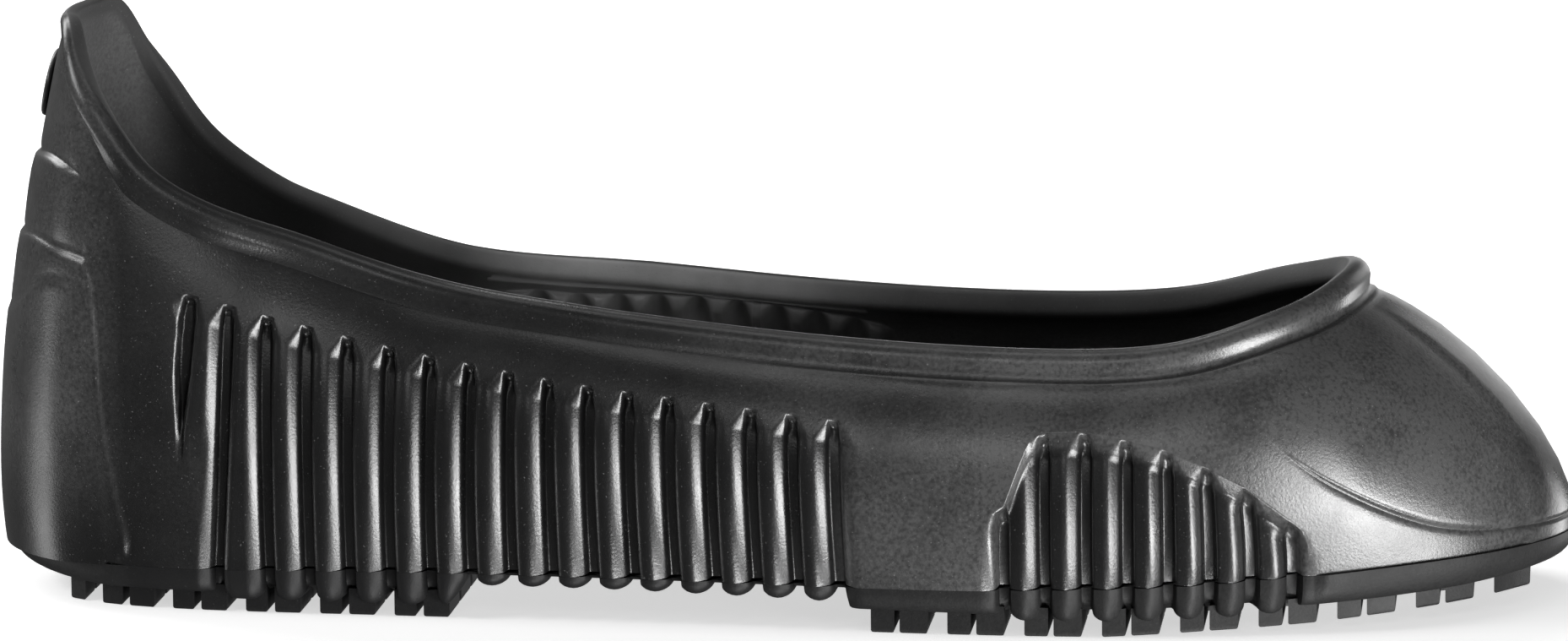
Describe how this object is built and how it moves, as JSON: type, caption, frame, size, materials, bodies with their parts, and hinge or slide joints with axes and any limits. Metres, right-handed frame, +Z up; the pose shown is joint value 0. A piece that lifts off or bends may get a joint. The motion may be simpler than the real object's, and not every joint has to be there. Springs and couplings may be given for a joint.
{
  "type": "overshoe",
  "caption": "Slip-on rubber overshoe: hollow shell with upright bellows folds, rolled collar, tall heel tab and lugged sole, worn over a shoe to keep it dry and to grip.",
  "frame": {"origin": "on the floor, in the middle of the box round the shoe's underside", "axes": "+X from heel to toe, +Y towards the inner side of this right shoe, +Z up"},
  "size_m": [0.2898, 0.0996, 0.1069],
  "materials": {
    "upper_rubber": "satin moulded black rubber with a faint dusty bloom",
    "outsole_rubber": "satin moulded black rubber",
    "badge_rubber": "plain satin black rubber"
  },
  "bodies": {
    "root": {"upper": "upper_rubber", "outsole": "outsole_rubber", "heel_badge": "badge_rubber"}
  },
  "joints": []
}
